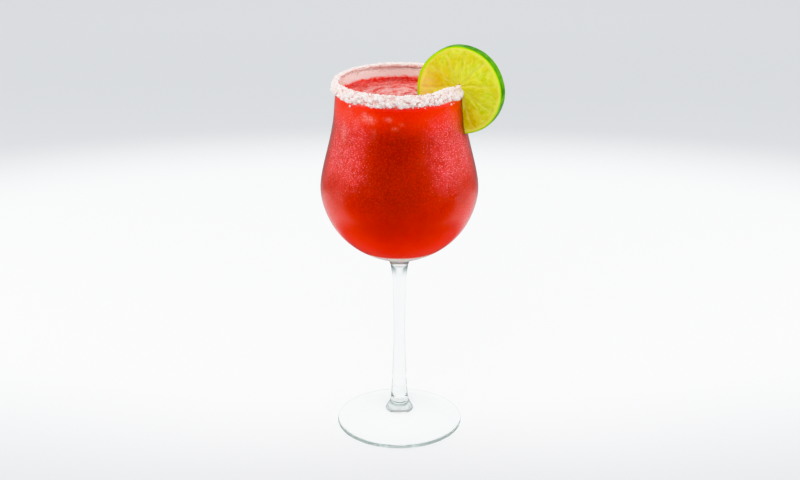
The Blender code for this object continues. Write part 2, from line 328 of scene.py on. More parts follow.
class Tree:
    def __init__(self, name):
        self.mat = bpy.data.materials.new(name)
        self.mat.use_nodes = True
        self.tree = self.mat.node_tree
        self.tree.nodes.clear()
        self.out = self.tree.nodes.new("ShaderNodeOutputMaterial")

    def add(self, kind, inputs=None, out=0, **props):
        node = self.tree.nodes.new("ShaderNode" + kind)
        for key, value in props.items():
            setattr(node, key, value)
        for key, value in (inputs or {}).items():
            socket = node.inputs[key]
            if isinstance(value, bpy.types.NodeSocket):
                self.tree.links.new(value, socket)
            else:
                socket.default_value = value
        return node if out is None else node.outputs[out]

    def math(self, op, a, b=0.0, c=None, clamp=False):
        inputs = {0: a, 1: b}
        if c is not None:
            inputs[2] = c
        return self.add("Math", inputs, operation=op, use_clamp=clamp)

    def attr(self, name, vector=False):
        return self.add("Attribute", attribute_name=name, out="Vector" if vector else "Fac")

    def mix(self, fac, a, b):
        node = self.tree.nodes.new("ShaderNodeMix")
        node.data_type = 'RGBA'
        for socket, value in zip((node.inputs[0], node.inputs[6], node.inputs[7]), (fac, a, b)):
            if isinstance(value, bpy.types.NodeSocket):
                self.tree.links.new(value, socket)
            else:
                socket.default_value = value
        return node.outputs[2]

    def span(self, value, low, high, to_low=0.0, to_high=1.0, smooth=True):
        return self.add("MapRange", {"Value": value, "From Min": low, "From Max": high,
                                     "To Min": to_low, "To Max": to_high},
                        interpolation_type='SMOOTHSTEP' if smooth else 'LINEAR')

    def ramp(self, value, stops):
        node = self.tree.nodes.new("ShaderNodeValToRGB")
        self.tree.links.new(value, node.inputs[0])
        elements = node.color_ramp.elements
        while len(elements) > 1:
            elements.remove(elements[-1])
        elements[0].position, elements[0].color = stops[0]
        for pos, colour in stops[1:]:
            elements.new(pos).color = colour
        return node.outputs[0]

    def noise(self, vector, scale, detail=2.0, rough=0.5, **more):
        return self.add("TexNoise", {"Vector": vector, "Scale": scale, "Detail": detail, "Roughness": rough, **more})

    def surface(self, socket):
        self.tree.links.new(socket, self.out.inputs["Surface"])
        return self.mat


# ---------------------------------------------------------------- camera
def make_camera():
    cam = bpy.data.cameras.new("camera")
    obj = bpy.data.objects.new("camera", cam)
    bpy.context.scene.collection.objects.link(obj)
    cam.sensor_fit = 'HORIZONTAL'
    cam.sensor_width = 36.0
    cam.lens = 36.0 * 1483.0 / 800.0
    cam.shift_x = 0.6 / 800.0
    cam.clip_start, cam.clip_end = 0.01, 50.0
    obj.location = (0.0, -0.7744, 0.4135)
    obj.rotation_euler = (math.radians(90 - 21.225), 0.0, 0.0)
    bpy.context.scene.camera = obj


# ---------------------------------------------------------------- glass
def glass_material():
    t = Tree("clear_glass")
    place = t.add("TexCoord", out="Object")
    dew = t.attr("dew")
    beads = t.add("TexVoronoi", {"Vector": place, "Scale": 760.0, "Randomness": 1.0}, feature='F1')
    small = t.add("TexVoronoi", {"Vector": place, "Scale": 1500.0, "Randomness": 1.0}, feature='F1')
    domes = t.math('SUBTRACT', 1.0, t.math('MULTIPLY', t.math('MULTIPLY', beads, beads), 4.5), clamp=True)
    fuzz = t.math('SUBTRACT', 1.0, t.math('MULTIPLY', t.math('MULTIPLY', small, small), 4.5), clamp=True)
    height = t.math('MULTIPLY', t.math('ADD', domes, t.math('MULTIPLY', fuzz, 0.4)), dew)
    bump = t.add("Bump", {"Strength": 1.0, "Distance": 0.00013, "Height": height})
    # painted shade: the glass's colour is darkened to green-grey where it is seen edge on, on the bowl's wall, the
    # stem's flare and neck and the foot's rim, standing for the dark surroundings mirrored there
    facing = t.add("LayerWeight", {"Blend": 0.5}, out="Facing")
    edge = t.math('MULTIPLY', t.span(facing, 0.62, 0.95), t.attr("edge"))
    turned_down = t.math('SUBTRACT', facing, t.math('MULTIPLY', t.attr("collar"), 0.33))
    edge = t.math('MAXIMUM', edge, t.math('MULTIPLY', t.span(turned_down, 0.10, 0.29), t.attr("neck")))
    tint = t.mix(edge, (0.99, 0.998, 0.994, 1), (0.13, 0.18, 0.17, 1))
    glass = t.add("BsdfPrincipled", {
        "Base Color": tint, "Roughness": 0.0, "IOR": 1.5,
        "Transmission Weight": 1.0, "Normal": bump})
    clear = t.add("BsdfTransparent", {"Color": (0.96, 0.97, 0.965, 1)})
    # rays that were mirrored outside the glass pass through the foot as if it weren't there
    paths = t.add("LightPath", out=None)
    mirrored = t.math('MULTIPLY', t.math('GREATER_THAN', paths.outputs["Glossy Depth"], 0.5),
                      t.math('LESS_THAN', paths.outputs["Transmission Depth"], 0.5))
    mixed = t.add("MixShader", {0: t.math('MAXIMUM', paths.outputs["Is Shadow Ray"], mirrored), 1: glass, 2: clear})
    volume = t.add("VolumeAbsorption", {"Color": (0.62, 0.80, 0.74, 1), "Density": 9.0})
    t.tree.links.new(volume, t.out.inputs["Volume"])
    return t.surface(mixed)


def flank(x, y, z, lowest=145.0, highest=199.5, low_reflection=0.0):
    """How much a spot on the bowl lies on one of the four misted flanks, or low at either side; the drink is given
    painted highlights and a painted reflection there.
    """
    angle = np.degrees(np.arctan2(-y, x)) % 360
    spots = np.stack([x, y, z], 1)
    wander = noise_at(spots, 70.0, 2.2)
    across = np.zeros(len(x))
    for centre, half, strength in ((41, 27, 1.0), (142, 28, 0.9), (222, 30, 0.7), (318, 30, 0.7)):
        d = np.abs((angle - centre + 180) % 360 - 180)
        across = np.maximum(across, strength * (1 - smoothstep(half * 0.45, half * 1.35, d + 9 * wander)))
    across = across * (0.84 + 0.32 * np.exp(-((z / MM - 163.0) / 13.0) ** 2))
    low = z / MM + 9.0 * wander
    across = across * smoothstep(lowest, lowest + 22, low) * (1 - smoothstep(highest - 14, highest, z / MM + 3 * wander))
    beside = np.minimum(angle % 180, 180 - angle % 180) + 12 * wander
    beside = (1 - smoothstep(14, 56, beside)) * smoothstep(110, 124, low) * (1 - smoothstep(134, 152, low))
    return np.maximum(across, low_reflection * beside)


def make_glass():
    error = 0.006 * MM
    outer = simplified(OUTSIDE, error)
    inner = simplified(INSIDE, error)
    stem = simplified(stem_outside(), error * 0.6, 1.2 * MM)[1:]
    top, edge, under = foot_outside()
    lip = half_round(outer[0][0], inner[0][0], GLASS_HEIGHT)
    profile = np.vstack([inner[::-1], lip[::-1], outer, stem, simplified(top, error),
                         edge, simplified(under, error)])
    obj, count = turned("glass_body", profile, angle=50)
    outward(obj)
    co = coordinates(obj)
    x, y, z = co.T
    r = np.hypot(x, y)
    is_outer = (np.abs(r - outer_radius(z)) < 0.1 * MM) & (z > 112 * MM)
    attribute(obj, "dew", np.where(is_outer, flank(x, y, z), 0.0))
    # where the painted shade on the glass goes: the neck and collar at the stem's top, and in edge the bowl's wall,
    # the stem's flare and the foot's rim
    attribute(obj, "neck", smoothstep(91 * MM, 97 * MM, z) * (1 - smoothstep(102.6 * MM, 103.8 * MM, z)))
    attribute(obj, "collar", smoothstep(97 * MM, 99 * MM, z) * (1 - 0.5 * smoothstep(100.5 * MM, 101.5 * MM, z)))
    base = smoothstep(8.5 * MM, 10 * MM, z) * (1 - smoothstep(13 * MM, 20 * MM, z))
    rim = smoothstep(FOOT_RADIUS - 1.6 * MM, FOOT_RADIUS - 0.6 * MM, r) * (z < 4 * MM)
    bowl = 0.2 - 0.2 * smoothstep(98 * MM, 104 * MM, z) + 0.65 * smoothstep(111.5 * MM, 116 * MM, z)
    attribute(obj, "edge", np.clip(bowl * (z < 199 * MM) + 0.4 * base + rim, 0, 1))
    obj.data.materials.append(glass_material())
    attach(obj, "root")
    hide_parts("glass")
    return obj


# ---------------------------------------------------------------- frozen drink
def slush_side_material():
    t = Tree("strawberry_slush")
    place = t.add("TexCoord", out="Object")
    froth, glint_patches = t.attr("froth"), t.attr("glint_patches")
    broad = t.noise(place, 60.0, 3.0, 0.55)
    grain = t.noise(place, 900.0, 3.0, 0.6)
    # painted light: the drink is brighter near its bottom and in a band under its surface and darker between, standing
    # for light from the floor below and light entering through the surface
    height = t.add("SeparateXYZ", {0: place}, out="Z")
    thin = t.math('MAXIMUM', t.span(height, 0.136, 0.114), t.span(height, 0.181, 0.193, 0.0, 0.9))
    full = t.mix(t.span(broad, 0.35, 0.68), (0.36, 0.019, 0.0018, 1), (0.415, 0.024, 0.0024, 1))
    deep = t.mix(t.span(broad, 0.35, 0.68), (0.58, 0.028, 0.0018, 1), (0.66, 0.036, 0.0024, 1))
    full = t.mix(t.span(height, 0.152, 0.132), full, deep)
    light = t.mix(t.span(broad, 0.35, 0.68), (0.90, 0.036, 0.004, 1), (0.94, 0.046, 0.006, 1))
    upper = t.mix(t.span(broad, 0.35, 0.68), (0.64, 0.033, 0.003, 1), (0.70, 0.041, 0.004, 1))
    base = t.mix(thin, full, t.mix(t.span(height, 0.150, 0.175), light, upper))
    lift = t.mix(thin, (0.58, 0.030, 0.003, 1), (0.86, 0.044, 0.004, 1))
    base = t.mix(t.math('MULTIPLY', t.span(grain, 0.42, 0.62), 0.7), base, lift)
    # painted highlights: pale haze and dots on the flanks stand for the side lamps' glints in the condensation, and
    # low at either side for a painted reflection of the white the glass mirrors there
    haze = t.math('MULTIPLY', glint_patches, t.span(t.noise(place, 240.0, 3.0, 0.6), 0.25, 0.75, 0.15, 0.55))
    base = t.mix(haze, base, (0.78, 0.094, 0.108, 1))
    few = t.math('ADD', t.math('MULTIPLY', glint_patches, 0.90), 0.10, clamp=True)
    for scale, share, size in ((1050.0, 0.42, 0.42), (1450.0, 0.40, 0.42)):
        cells = t.add("TexVoronoi", {"Vector": place, "Scale": scale, "Randomness": 1.0}, feature='F1', out=None)
        chance = t.add("SeparateColor", {"Color": cells.outputs["Color"]})
        picked = t.math('LESS_THAN', chance, t.math('MULTIPLY', few, share + 0.2))
        dot = t.math('MULTIPLY', t.span(cells.outputs["Distance"], size, size * 0.45), picked)
        base = t.mix(t.math('MULTIPLY', dot, t.math('MULTIPLY', few, 0.65)), base, (0.96, 0.29, 0.30, 1))
    bubbles = t.add("TexVoronoi", {"Vector": place, "Scale": 800.0}, feature='F1')
    foam = t.math('MULTIPLY', froth, t.span(bubbles, 0.62, 0.15, 0.3, 1.0), clamp=True)
    base = t.mix(foam, base, srgb(252, 180, 168))
    # painted highlight: a pale ring on the drink's bottom stands for the light the thick glass base gathers there,
    # with a pink band below it
    base = t.mix(t.span(height, 0.1130, 0.1116), base, (1.0, 0.96, 0.91, 1))
    base = t.mix(t.span(height, 0.1086, 0.1072), base, (0.90, 0.55, 0.50, 1))
    bump = t.add("Bump", {"Strength": 0.5, "Distance": 0.0003, "Height": grain})
    shader = t.add("BsdfPrincipled", {
        "Base Color": base, "Roughness": 0.55, "IOR": 1.33, "Specular IOR Level": 0.0,
        "Subsurface Weight": 0.7, "Subsurface Radius": (1.0, 0.10, 0.04), "Subsurface Scale": 0.009,
        "Normal": bump})
    return t.surface(shader)


def slush_top_material():
    t = Tree("strawberry_slush_surface")
    place = t.add("TexCoord", out="Object")
    swirl = t.attr("swirl", vector=True)
    foam = t.attr("foam")
    broad = t.noise(place, 130.0, 4.0, 0.6)
    grain = t.noise(place, 700.0, 3.0, 0.6)
    streak = t.noise(swirl, 1.0, 4.0, 0.62)
    base = t.mix(t.span(broad, 0.35, 0.65), (0.48, 0.018, 0.011, 1), (0.68, 0.042, 0.028, 1))
    base = t.mix(t.math('MULTIPLY', t.span(grain, 0.45, 0.70), 0.6), base, (0.80, 0.15, 0.13, 1))
    pale = t.math('MULTIPLY', t.span(streak, 0.40, 0.56), foam)
    base = t.mix(pale, base, (0.80, 0.32, 0.30, 1))
    bubbles = t.add("TexVoronoi", {"Vector": place, "Scale": 420.0}, feature='F1')
    height = t.math('ADD', t.math('MULTIPLY', grain, 0.5), t.math('MULTIPLY', bubbles, -0.4))
    height = t.math('ADD', height, t.math('MULTIPLY', streak, 1.6))
    bump = t.add("Bump", {"Strength": 0.6, "Distance": 0.0005, "Height": height})
    shader = t.add("BsdfPrincipled", {
        "Base Color": base, "Roughness": t.span(grain, 0.3, 0.7, 0.14, 0.34), "IOR": 1.36,
        "Subsurface Weight": 0.5, "Subsurface Radius": (1.0, 0.15, 0.08), "Subsurface Scale": 0.005,
        "Normal": bump})
    return t.surface(shader)


def slush_film_material():
    t = Tree("strawberry_slush_film")
    place = t.add("TexCoord", out="Object")
    rise = t.attr("rise")
    ragged = t.math('ADD', rise, t.math('MULTIPLY', t.math('SUBTRACT', t.noise(place, 420.0, 4.0, 0.65), 0.5), 0.7))
    # painted light: the smear is painted pale towards its top edge, standing for the light that comes through the
    # crust behind it
    pale = t.math('MULTIPLY', t.span(ragged, 0.05, 0.45), t.attr("inner"))
    base = t.mix(pale, (0.97, 0.035, 0.010, 1), (1.0, 0.95, 0.92, 1))
    cover = t.math('ADD', t.span(ragged, 1.0, 0.70, 0.0, 0.56), t.span(ragged, 0.42, 0.10, 0.0, 0.42))
    shader = t.add("BsdfPrincipled", {
        "Base Color": base, "Roughness": 0.3, "IOR": 1.33, "Specular IOR Level": 0.3})
    clear = t.add("BsdfTransparent", {"Color": (1.0, 1.0, 1.0, 1)})
    return t.surface(t.add("MixShader", {0: cover, 1: clear, 2: shader}))


FROTH = [  # angle from +X towards -Y in degrees, height in mm, width and height in mm, strength
    (118, 192.0, 3.4, 1.9, 0.95), (122, 194.0, 1.6, 1.4, 0.7), (100, 192.8, 2.2, 1.2, 0.6),
    (130, 188.5, 1.2, 3.2, 0.35), (94, 188.0, 1.6, 1.0, 0.35), (88, 190.4, 1.4, 1.0, 0.3),
    (146, 182.0, 1.6, 4.5, 0.5), (112, 185.0, 1.2, 2.0, 0.2),
    (250, 193.0, 3.0, 1.6, 0.8), (310, 191.0, 2.4, 1.8, 0.7), (205, 187.0, 2.0, 3.0, 0.5)]


def contact_height(angle):
    """Where the surface meets the wall, seen round the glass."""
    n = np.array([noise.noise(Vector((4 * math.cos(v), 4 * math.sin(v), 1.7)))
                  + 0.5 * noise.noise(Vector((13 * math.cos(v), 13 * math.sin(v), 5.2))) for v in angle])
    return DRINK_LEVEL + (0.45 + 0.35 * n) * MM


def film_height(angle):
    """How far the slush has smeared up the wall above that."""
    n = np.array([noise.noise(Vector((3 * math.cos(v), 3 * math.sin(v), 8.8)))
                  + 0.6 * noise.noise(Vector((11 * math.cos(v), 11 * math.sin(v), 3.3))) for v in angle])
    front = 0.5 - 0.5 * np.sin(angle)
    beside = np.exp(-((angle + math.radians(22)) / math.radians(13)) ** 2)
    high = (6.4 - 0.8 * front + 0.9 * n - 3.6 * beside) * MM
    return smooth_min(high, GLASS_HEIGHT - 1.4 * MM - DRINK_LEVEL, 0.5 * MM)


def make_drink():
    into = 0.35 * MM
    seg = SEGMENTS
    a = np.arange(seg) * 2 * math.pi / seg
    contact, smear = contact_height(a), film_height(a)
    edge = float(inner_radius(DRINK_LEVEL + 1.0 * MM)) - 0.22 * MM
    # rings of the surface, closer together towards the wall
    rho = 1 - (1 - np.linspace(0, 1, 92)[1:]) ** 1.35
    radii = edge * rho
    verts = []
    for r in radii:
        x, y = r * np.cos(a), r * np.sin(a)
        flat = np.stack([x, y, np.full(seg, 0.3)], 1)
        lumps = 0.34 * MM * noise_at(flat, 110.0) + 0.17 * MM * noise_at(flat, 330.0, 3.1) \
            + 0.06 * MM * noise_at(flat, 900.0, 7.7)
        rings = np.stack([np.full(seg, r / (2.1 * MM)), 1.9 * np.cos(a), 1.9 * np.sin(a)], 1)
        lumps = lumps + 0.13 * MM * noise_at(rings, 1.0, 2.9) * min(1.0, r / (6 * MM))
        gap = edge - r
        climb = (contact - DRINK_LEVEL) * np.exp(-gap / (0.5 * MM))
        verts.append(np.stack([x, y, DRINK_LEVEL + lumps * min(1.0, 0.15 + gap / (1.5 * MM)) + climb], 1))
    rim = verts[-1][:, 2]
    for lift, out in ((0.12, -0.14), (0.3, -0.10), (0.55, -0.07), (0.8, -0.04), (0.97, -0.01), (1.0, 0.15),
                      (0.97, 0.30), (0.8, 0.33), (0.55, 0.35), (0.3, 0.35), (0.0, 0.35)):
        z = rim + smear * lift
        r = inner_radius(z) + out * MM
        verts.append(np.stack([r * np.cos(a), r * np.sin(a), z], 1))
    wall = offset(INSIDE, into)
    wall = simplified(wall[(wall[:, 1] < DRINK_LEVEL - 0.6 * MM) & (wall[:, 0] > 0.6 * MM)], 0.01 * MM, 1.3 * MM)
    for r, z in wall:
        verts.append(np.stack([r * np.cos(a), r * np.sin(a), np.full(seg, z)], 1))
    rows = len(verts)
    verts = np.vstack(verts)
    n = len(verts)
    centre = DRINK_LEVEL + 0.34 * MM * noise.noise(Vector((0, 0, 0.3 * 110)))
    verts = np.vstack([verts, [0, 0, centre], [0, 0, INNER_FLOOR_HEIGHT - into]])
    j = np.arange(seg)
    k = (j + 1) % seg
    end = (rows - 1) * seg
    tris = np.vstack([np.stack([np.full(seg, n), j, k], 1), np.stack([np.full(seg, n + 1), end + k, end + j], 1)])
    obj = mesh_object("frozen_drink", verts, grid_faces(rows, seg), tris)
    outward(obj)
    # leave room for the lime wheel, which the drink touches
    subtract(obj, lime_slab(-0.25 * MM))
    co = coordinates(obj)
    x, y, z = co.T
    r = np.hypot(x, y)
    turn = np.arctan2(y, x)
    rise = (z - contact_height(turn)) / film_height(turn)
    attribute(obj, "rise", np.clip(rise, 0, 1.2))
    inner = (r < inner_radius(np.minimum(z, GLASS_HEIGHT - 1 * MM)) + 0.05 * MM) * 1.0
    # the smear is painted pale right through on the far side, standing for light coming through the crust from behind
    attribute(obj, "inner", np.maximum(inner, smoothstep(-0.1, 0.3, np.sin(turn))))
    # where the drink's painted highlights and low painted reflection go
    attribute(obj, "glint_patches", flank(x, y, z, low_reflection=1.0))
    attribute(obj, "foam", np.clip(1.15 - smoothstep(13 * MM, 36 * MM, np.hypot(x - 3 * MM, y + 2 * MM)), 0, 1))
    attribute(obj, "swirl", np.stack([r / (3.2 * MM), 2.4 * np.cos(turn), 2.4 * np.sin(turn)], 1))
    froth = np.zeros(len(co))
    angle = np.degrees(np.arctan2(-y, x)) % 360
    for deg, high, wide, tall, strength in FROTH:
        d = (angle - deg + 180) % 360 - 180
        across = np.radians(d) * r / (wide * MM)
        froth = np.maximum(froth, strength * np.exp(-(across ** 2 + ((z - high * MM) / (tall * MM)) ** 2)))
    attribute(obj, "froth", froth)
    for made in (slush_side_material(), slush_top_material(), slush_film_material()):
        obj.data.materials.append(made)
    centres = np.zeros(len(obj.data.polygons) * 3, np.float32)
    obj.data.polygons.foreach_get("center", centres)
    centres = centres.reshape(-1, 3)
    pr = np.hypot(centres[:, 0], centres[:, 1])
    film = centres[:, 2] > contact_height(np.arctan2(centres[:, 1], centres[:, 0])) + 0.05 * MM
    film &= pr > inner_radius(centres[:, 2]) - 0.2 * MM
    on_top = (centres[:, 2] > DRINK_LEVEL - 0.6 * MM) & (pr < inner_radius(centres[:, 2]) + 0.12 * MM)
    obj.data.polygons.foreach_set("material_index", np.where(film, 2, on_top).astype(np.int32))
    obj.data.update()
    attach(obj, "root")
    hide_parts("drink")
    return obj


# ---------------------------------------------------------------- lime wheel
LIME_CORE = (-0.2 * MM, 2.1 * MM)
LIME_WALLS = np.radians([8, 43, 80, 112, 150, 186, 221, 257, 291, 327])
PITH = 2.15 * MM
ZEST = 1.15 * MM


def lime_radius(angle):
    return LIME_RADIUS + 0.28 * MM * np.cos(2 * angle - 0.9) \
        + 0.16 * MM * np.cos(3 * angle + 1.7) + 0.07 * MM * np.cos(7 * angle)


def lime_matrix():
    return Matrix.Translation(LIME_CENTRE) @ Matrix.Rotation(-LIME_YAW, 4, 'Z')


def lime_slab(grow):
    """The wheel's plain outline, grown or shrunk, used to make room for it."""
    half = LIME_THICKNESS / 2 + grow
    count = 120
    a = np.arange(count) * 2 * math.pi / count
    verts = []
    for depth, inset in ((-half, -0.3 * MM), (-half * 0.45, 0.0), (half * 0.45, 0.0), (half, -0.3 * MM)):
        r = lime_radius(a) + inset + grow
        verts.append(np.stack([r * np.cos(a), np.full(count, depth), r * np.sin(a)], 1))
    verts = np.vstack(verts + [np.array([[0, -half, 0], [0, half, 0]])])
    j = np.arange(count)
    k = (j + 1) % count
    n = 4 * count
    tris = np.vstack([np.stack([np.full(count, n), k, j], 1), np.stack([np.full(count, n + 1), 3 * count + j, 3 * count + k], 1)])
    obj = mesh_object("slab", verts, grid_faces(4, count), tris, smooth=False)
    outward(obj)
    obj.data.transform(lime_matrix())
    return obj


def lime_fields(x, z):
    """Distances that say where the flesh, its membranes, the pith and the rind are."""
    angle = np.arctan2(z, x)
    inward = lime_radius(angle) - np.hypot(x, z)
    dx, dz = x - LIME_CORE[0], z - LIME_CORE[1]
    d = np.hypot(dx, dz)
    phi = np.arctan2(dz, dx)
    bend = 0.05 * np.sin(d / (3.1 * MM)) + 0.03 * np.sin(d / (1.3 * MM) + 2)
    best = np.full(np.shape(x), 1.0)
    which = np.zeros(np.shape(x))
    across = np.zeros(np.shape(x))
    walls = np.sort(LIME_WALLS)
    for i, wall in enumerate(walls):
        diff = (phi - wall - bend * math.cos(3.0 * i) + math.pi) % (2 * math.pi) - math.pi
        dist = np.where(np.abs(diff) < math.pi / 2, np.abs(np.sin(diff)) * d, d)
        best = np.minimum(best, dist)
        after = diff > 0
        nearer = after & ((across == 0) | (diff < across))
        across = np.where(nearer, diff, across)
        which = np.where(nearer, i, which)
    thick = 0.16 * MM + 0.10 * MM * np.clip(d / (15 * MM), 0, 1)
    flesh = smooth_min(smooth_min(inward - PITH, best - thick, 1.3 * MM), d - 0.9 * MM, 0.9 * MM)
    return inward, best, d, phi, which, across, flesh


def lime_material():
    t = Tree("lime")
    inward = t.attr("inward")
    flesh = t.attr("flesh")
    polar = t.attr("polar", vector=True)
    local = t.attr("local", vector=True)
    # juice sacs run outwards from the core, so the pattern is stretched along the radius
    sac_edge = t.add("TexVoronoi", {"Vector": polar, "Scale": 1.0, "Randomness": 1.0}, feature='DISTANCE_TO_EDGE')
    tint = t.add("TexVoronoi", {"Vector": polar, "Scale": 1.0, "Randomness": 1.0}, feature='F1', out="Color")
    streak = t.noise(polar, 0.8, 4.0, 0.62)
    depth = t.noise(local, 0.13, 3.0, 0.55)
    cloud = t.noise(local, 0.45, 4.0, 0.6)
    deep, light = srgb(186, 200, 20), srgb(210, 214, 78)
    colour = t.mix(t.span(streak, 0.36, 0.66), deep, light)
    colour = t.mix(t.math('MULTIPLY', t.span(depth, 0.42, 0.60), 0.6), colour, srgb(198, 182, 0))
    # deeper gold towards the slit and on the side that stands in the drink; at its edge there, a painted pale peach
    # standing for the light the drink and glass bounce onto it
    for spot, reach, amount, shade in (((-12.0, 0.0, 4.5), 9.0, 0.75, srgb(208, 176, 0)),
                                       ((4.5, 0.0, -14.5), 11.0, 0.85, srgb(196, 168, 0)),
                                       ((-22.0, 0.0, 2.0), 13.0, 0.80, srgb(232, 198, 112))):
        away = t.add("VectorMath", {0: local, 1: spot}, operation='DISTANCE', out="Value")
        away = t.math('ADD', away, t.math('MULTIPLY', t.math('SUBTRACT', streak, 0.5), 14.0))
        colour = t.mix(t.math('MULTIPLY', t.span(away, reach, 2.0), amount), colour, shade)
    red = t.add("SeparateColor", {"Color": tint})
    colour = t.mix(t.math('MULTIPLY', t.span(red, 0.35, 1.0), 0.35), colour, srgb(230, 222, 66))
    colour = t.mix(t.math('MULTIPLY', t.span(sac_edge, 0.10, 0.0), 0.20), colour, srgb(232, 222, 84))
    # pale membranes, soft and broken
    soft = t.math('ADD', flesh, t.math('MULTIPLY', t.math('SUBTRACT', cloud, 0.5), 1.8))
    membrane = t.math('MULTIPLY', t.span(soft, 0.95, -0.25), t.span(t.noise(local, 0.22, 2.0), 0.32, 0.62, 0.12, 0.46))
    colour = t.mix(membrane, colour, srgb(226, 218, 100))
    pith = t.span(t.math('ADD', inward, t.math('MULTIPLY', t.math('SUBTRACT', cloud, 0.5), 1.2)), 2.5, 1.2)
    colour = t.mix(t.math('MULTIPLY', pith, 0.8), colour, srgb(212, 214, 84))
    side = t.span(t.add("SeparateXYZ", {0: local}, out="X"), -3.0, -17.0, 0.0, 0.6)
    zest = t.span(t.math('SUBTRACT', inward, side), 1.25, 0.55)
    colour = t.mix(zest, colour, srgb(160, 204, 10))
    skin = t.span(inward, 0.36, 0.08)
    pores = t.add("TexVoronoi", {"Vector": local, "Scale": 0.95}, feature='F1')
    rind = t.mix(t.span(t.noise(local, 0.2, 3.0), 0.35, 0.65), srgb(44, 114, 0), srgb(86, 148, 0))
    rind = t.mix(t.math('MULTIPLY', t.span(pores, 0.35, 0.10), 0.3), rind, srgb(150, 205, 24))
    colour = t.mix(skin, colour, rind)
    height = t.math('ADD', t.math('MULTIPLY', sac_edge, t.math('SUBTRACT', 1.0, pith)),
                    t.math('MULTIPLY', t.math('MULTIPLY', t.span(pores, 0.45, 0.0), skin), -0.6))
    bump = t.add("Bump", {"Strength": 0.35, "Distance": 0.0003, "Height": height})
    shader = t.add("BsdfPrincipled", {
        "Base Color": colour, "Roughness": t.span(skin, 0, 1, 0.30, 0.36), "IOR": 1.38,
        "Specular IOR Level": 0.16, "Subsurface Weight": 0.5, "Subsurface Radius": (1.0, 0.9, 0.12),
        "Subsurface Scale": 0.005, "Normal": bump})
    return t.surface(shader)


def make_lime():
    count, rings = 400, 74
    a = np.arange(count) * 2 * math.pi / count
    half = LIME_THICKNESS / 2
    full = lime_radius(a)
    rows = []

    def face(sign):
        out = []
        for i in range(1, rings + 1):
            rho = (i / rings) ** 0.85
            r = (full - 0.30 * MM) * rho
            x, z = r * np.cos(a), r * np.sin(a)
            inward, best, d, phi, which, across, flesh = lime_fields(x, z)
            plump = 0.22 * MM * smoothstep(0, 1.6 * MM, flesh) - 0.10 * MM * smoothstep(0.25 * MM, -0.1 * MM, flesh) * (inward > PITH)
            sac = np.stack([phi * 22 + which * 5, d / MM * 0.32, np.full(count, sign * 2.0)], 1)
            plump = plump + 0.07 * MM * noise_at(sac, 1.0) * smoothstep(0, 0.8 * MM, flesh)
            droop = 0.10 * MM * smoothstep(1.2 * MM, 0.0, inward - 0.3 * MM)
            out.append(np.stack([x, sign * (half - 0.12 * MM + plump - droop), z], 1))
        return out

    front = face(-1)
    back = face(1)
    rows += front
    for depth, inset in ((-0.97, 0.12), (-0.9, 0.04), (-0.72, 0.0), (-0.45, -0.02), (-0.15, -0.03), (0.15, -0.03),
                         (0.45, -0.02), (0.72, 0.0), (0.9, 0.04), (0.97, 0.12)):
        r = full - inset * MM
        skin = np.stack([r * np.cos(a), np.full(count, depth * half), r * np.sin(a)], 1)
        r = r + 0.05 * MM * noise_at(skin, 420.0, 1.3) + 0.08 * MM * noise_at(skin, 120.0, 4.3)
        rows.append(np.stack([r * np.cos(a), np.full(count, depth * (half - 0.15 * MM)), r * np.sin(a)], 1))
    rows += back[::-1]
    total = len(rows)
    verts = np.vstack(rows + [np.array([[0, rows[0][:, 1].mean(), 0], [0, rows[-1][:, 1].mean(), 0]])])
    j = np.arange(count)
    k = (j + 1) % count
    n = total * count
    end = (total - 1) * count
    tris = np.vstack([np.stack([np.full(count, n), k, j], 1), np.stack([np.full(count, n + 1), end + j, end + k], 1)])
    obj = mesh_object("lime_slice", verts, grid_faces(total, count), tris)
    outward(obj)
    obj.data.transform(lime_matrix())
    # the slit that holds the wheel on the wall
    gap = 0.15 * MM
    low = LIME_CENTRE.z - LIME_RADIUS - 12 * MM
    outer, inner = offset(OUTSIDE, gap), offset(INSIDE, -gap)
    outer = simplified(outer[outer[:, 1] > low], 0.01 * MM, 4 * MM)
    inner = simplified(inner[inner[:, 1] > low], 0.01 * MM, 4 * MM)
    ring = np.vstack([inner[::-1], half_round(outer[0][0], inner[0][0], GLASS_HEIGHT + gap)[::-1], outer])
    seg = 240
    b = np.arange(seg) * 2 * math.pi / seg
    pts = np.stack([ring[:, :1] * np.cos(b), ring[:, :1] * np.sin(b), np.repeat(ring[:, 1:], seg, axis=1)], -1).reshape(-1, 3)
    faces = grid_faces(len(ring), seg)
    jj = np.arange(seg)
    kk = (jj + 1) % seg
    last = (len(ring) - 1) * seg
    faces = np.vstack([faces, np.stack([last + jj, last + kk, kk, jj], 1)])
    subtract(obj, outward(mesh_object("slot", pts, faces, smooth=False)))
    obj.data.shade_smooth()
    obj.data.set_sharp_from_angle(angle=math.radians(40))
    co = coordinates(obj)
    inverse = np.array(lime_matrix().inverted())
    local = co @ inverse[:3, :3].T + inverse[:3, 3]
    inward, best, d, phi, which, across, flesh = lime_fields(local[:, 0], local[:, 2])
    attribute(obj, "inward", inward / MM)
    attribute(obj, "flesh", flesh / MM)
    attribute(obj, "local", local / MM)
    attribute(obj, "polar", np.stack([across * 9.0 + which * 7, d / MM * 0.34, which * 3.0 + np.sign(local[:, 1]) * 2.0], 1))
    obj.data.materials.clear()
    obj.data.materials.append(lime_material())
    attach(obj, "root")
    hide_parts("lime_wheel")
    return obj


